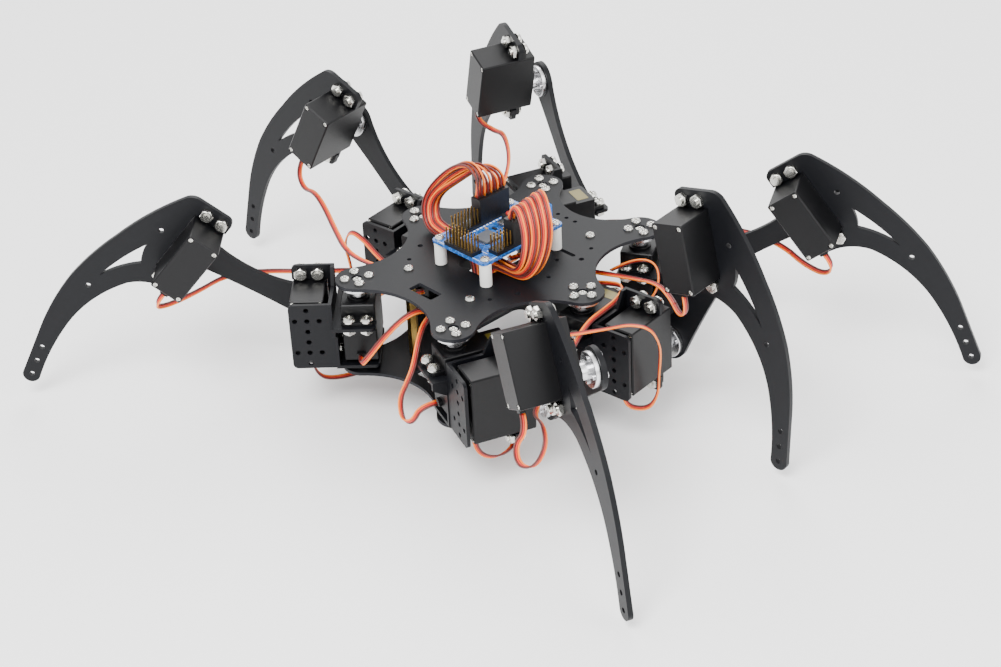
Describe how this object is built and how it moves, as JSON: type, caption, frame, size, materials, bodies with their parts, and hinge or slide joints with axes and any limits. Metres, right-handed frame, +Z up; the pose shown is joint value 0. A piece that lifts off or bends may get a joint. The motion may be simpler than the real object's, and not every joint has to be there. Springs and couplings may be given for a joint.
{
  "type": "hexapod spider robot",
  "caption": "Six-legged walking robot kit: flat deck plates, servo legs with folded brackets, plate links and curved claw feet, and a controller board on top.",
  "frame": {"origin": "centre of the top deck plate's upper face, midway between its four corner accessory holes", "axes": "+Z up, +Y towards the robot's front, +X to its right"},
  "size_m": [0.4544, 0.3986, 0.1648],
  "materials": {
    "black_anodised": "black satin anodised sheet",
    "black_case": "black moulded case with fine texture",
    "plated_steel": "bright plated steel",
    "turned_aluminium": "bright turned aluminium",
    "brass_post": "turned brass",
    "white_nylon": "white moulded nylon",
    "board_blue": "blue coated circuit board",
    "terminal_blue": "blue moulded terminal",
    "header_black": "black moulded header",
    "plug_black": "black moulded plugs",
    "lead_orange": "insulated three-wire ribbon lead"
  },
  "bodies": {
    "root": {"board_standoffs": "white_nylon", "bottom_plate": "black_anodised", "controller_board": "board_blue", "deck_screws": "plated_steel", "hip_horns": "turned_aluminium", "lead_plugs": "plug_black", "pin_headers": "header_black", "pivot_bearings": "plated_steel", "plate_standoffs": "brass_post", "servo_leads": "lead_orange", "terminal_block": "terminal_blue", "top_plate": "black_anodised"},
    "rear_left_coxa": {"rear_left_hip_brackets": "black_anodised", "rear_left_hip_servos": "black_case", "rear_left_hip_screws": "plated_steel"},
    "rear_left_thigh": {"rear_left_thigh_link": "black_anodised", "rear_left_thigh_horns": "turned_aluminium"},
    "rear_left_claw": {"rear_left_claw": "black_anodised", "rear_left_knee_servo": "black_case", "rear_left_claw_screws": "plated_steel"},
    "middle_left_coxa": {"middle_left_hip_brackets": "black_anodised", "middle_left_hip_servos": "black_case", "middle_left_hip_screws": "plated_steel"},
    "middle_left_thigh": {"middle_left_thigh_link": "black_anodised", "middle_left_thigh_horns": "turned_aluminium"},
    "middle_left_claw": {"middle_left_claw": "black_anodised", "middle_left_knee_servo": "black_case", "middle_left_claw_screws": "plated_steel"},
    "front_left_coxa": {"front_left_hip_brackets": "black_anodised", "front_left_hip_servos": "black_case", "front_left_hip_screws": "plated_steel"},
    "front_left_thigh": {"front_left_thigh_link": "black_anodised", "front_left_thigh_horns": "turned_aluminium"},
    "front_left_claw": {"front_left_claw": "black_anodised", "front_left_knee_servo": "black_case", "front_left_claw_screws": "plated_steel"},
    "rear_right_coxa": {"rear_right_hip_brackets": "black_anodised", "rear_right_hip_servos": "black_case", "rear_right_hip_screws": "plated_steel"},
    "rear_right_thigh": {"rear_right_thigh_link": "black_anodised", "rear_right_thigh_horns": "turned_aluminium"},
    "rear_right_claw": {"rear_right_claw": "black_anodised", "rear_right_knee_servo": "black_case", "rear_right_claw_screws": "plated_steel"},
    "middle_right_coxa": {"middle_right_hip_brackets": "black_anodised", "middle_right_hip_servos": "black_case", "middle_right_hip_screws": "plated_steel"},
    "middle_right_thigh": {"middle_right_thigh_link": "black_anodised", "middle_right_thigh_horns": "turned_aluminium"},
    "middle_right_claw": {"middle_right_claw": "black_anodised", "middle_right_knee_servo": "black_case", "middle_right_claw_screws": "plated_steel"},
    "front_right_coxa": {"front_right_hip_brackets": "black_anodised", "front_right_hip_servos": "black_case", "front_right_hip_screws": "plated_steel"},
    "front_right_thigh": {"front_right_thigh_link": "black_anodised", "front_right_thigh_horns": "turned_aluminium"},
    "front_right_claw": {"front_right_claw": "black_anodised", "front_right_knee_servo": "black_case", "front_right_claw_screws": "plated_steel"}
  },
  "joints": [
    {"name": "rear_left_hip", "type": "hinge", "parent": "root", "child": "rear_left_coxa", "pos_m": [-0.0401, -0.0744, 0], "axis": [0, 0, 1], "range_deg": [-44, 45], "deforming": ["servo_leads"]},
    {"name": "rear_left_thigh", "type": "hinge", "parent": "rear_left_coxa", "child": "rear_left_thigh", "pos_m": [-0.06096, -0.09512, -0.0414], "axis": [-0.7046, 0.7096, 0], "range_deg": [-60, 60]},
    {"name": "rear_left_knee", "type": "hinge", "parent": "rear_left_thigh", "child": "rear_left_claw", "pos_m": [-0.11298, -0.14677, 0.00405], "axis": [-0.7046, 0.7096, 0], "range_deg": [-60, 60]},
    {"name": "middle_left_hip", "type": "hinge", "parent": "root", "child": "middle_left_coxa", "pos_m": [-0.066, 0, 0], "axis": [0, 0, 1], "range_deg": [-38, 45]},
    {"name": "middle_left_thigh", "type": "hinge", "parent": "middle_left_coxa", "child": "middle_left_thigh", "pos_m": [-0.09513, -0.00399, -0.0414], "axis": [-0.1357, 0.9907, 0], "range_deg": [-60, 60]},
    {"name": "middle_left_knee", "type": "hinge", "parent": "middle_left_thigh", "child": "middle_left_claw", "pos_m": [-0.15275, -0.01188, 0.02229], "axis": [-0.1357, 0.9907, 0], "range_deg": [-60, 60]},
    {"name": "front_left_hip", "type": "hinge", "parent": "root", "child": "front_left_coxa", "pos_m": [-0.0401, 0.0744, 0], "axis": [0, 0, 1], "range_deg": [-45, 38]},
    {"name": "front_left_thigh", "type": "hinge", "parent": "front_left_coxa", "child": "front_left_thigh", "pos_m": [-0.06785, 0.08412, -0.0414], "axis": [0.3305, 0.9438, 0], "range_deg": [-60, 60]},
    {"name": "front_left_knee", "type": "hinge", "parent": "front_left_thigh", "child": "front_left_claw", "pos_m": [-0.12071, 0.10263, 0.02419], "axis": [0.3305, 0.9438, 0], "range_deg": [-52, 60]},
    {"name": "rear_right_hip", "type": "hinge", "parent": "root", "child": "rear_right_coxa", "pos_m": [0.0401, -0.0744, 0], "axis": [0, 0, 1], "range_deg": [-60, 20]},
    {"name": "rear_right_thigh", "type": "hinge", "parent": "rear_right_coxa", "child": "rear_right_thigh", "pos_m": [0.06757, -0.08489, -0.0414], "axis": [-0.3567, -0.9342, 0], "range_deg": [-60, 60]},
    {"name": "rear_right_knee", "type": "hinge", "parent": "rear_right_thigh", "child": "rear_right_claw", "pos_m": [0.12782, -0.1079, 0.01586], "axis": [-0.3567, -0.9342, 0], "range_deg": [-60, 60]},
    {"name": "middle_right_hip", "type": "hinge", "parent": "root", "child": "middle_right_coxa", "pos_m": [0.066, 0, 0], "axis": [0, 0, 1], "range_deg": [-45, 38]},
    {"name": "middle_right_thigh", "type": "hinge", "parent": "middle_right_coxa", "child": "middle_right_thigh", "pos_m": [0.09522, 0.00328, -0.0414], "axis": [0.1115, -0.9938, 0], "range_deg": [-75, 40]},
    {"name": "middle_right_knee", "type": "hinge", "parent": "middle_right_thigh", "child": "middle_right_claw", "pos_m": [0.13413, 0.00764, 0.03545], "axis": [0.1115, -0.9938, 0], "range_deg": [-38, 70]},
    {"name": "front_right_hip", "type": "hinge", "parent": "root", "child": "front_right_coxa", "pos_m": [0.0401, 0.0744, 0], "axis": [0, 0, 1], "range_deg": [-32, 45]},
    {"name": "front_right_thigh", "type": "hinge", "parent": "front_right_coxa", "child": "front_right_thigh", "pos_m": [0.06556, 0.0891, -0.0414], "axis": [0.5, -0.866, 0], "range_deg": [-60, 60]},
    {"name": "front_right_knee", "type": "hinge", "parent": "front_right_thigh", "child": "front_right_claw", "pos_m": [0.12799, 0.12514, 0.00595], "axis": [0.5, -0.866, 0], "range_deg": [-60, 60]}
  ]
}
